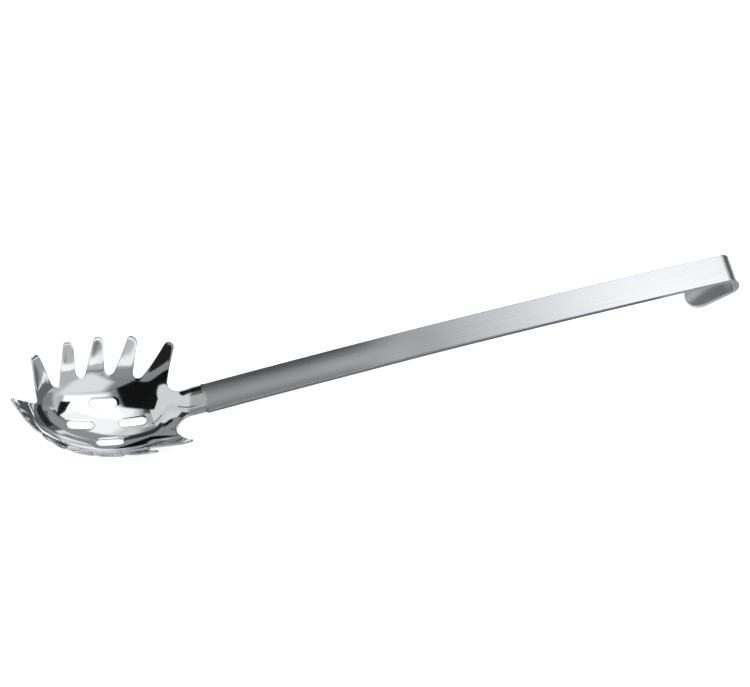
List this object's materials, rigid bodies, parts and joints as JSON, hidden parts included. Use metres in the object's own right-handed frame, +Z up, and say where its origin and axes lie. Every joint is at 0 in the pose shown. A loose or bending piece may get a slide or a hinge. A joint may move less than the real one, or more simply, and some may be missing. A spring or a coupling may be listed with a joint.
{
  "type": "pasta server",
  "caption": "Stainless pasta server: oval bowl ringed with upturned tines and pierced with drain slots, on a long brushed strip handle ending in a hanging hook",
  "frame": {"origin": "centre of the bounding box's foot: the table plane under the middle of the whole length, on the symmetry plane", "axes": "+X runs along the tool from the bowl to the hook, +Y across it towards the far side in the picture, and +Z up, with the tool lying as it rests on a table, bowl opening upwards"},
  "size_m": [0.376, 0.0816, 0.0389],
  "materials": {
    "polished_steel": "mirror polished stainless steel sheet",
    "ground_weld": "weld bead ground flush and blended into the brushed strip",
    "brushed_steel": "satin brushed along the handle"
  },
  "bodies": {
    "root": {"head": "polished_steel", "neck_weld": "ground_weld", "handle": "brushed_steel"}
  },
  "joints": []
}
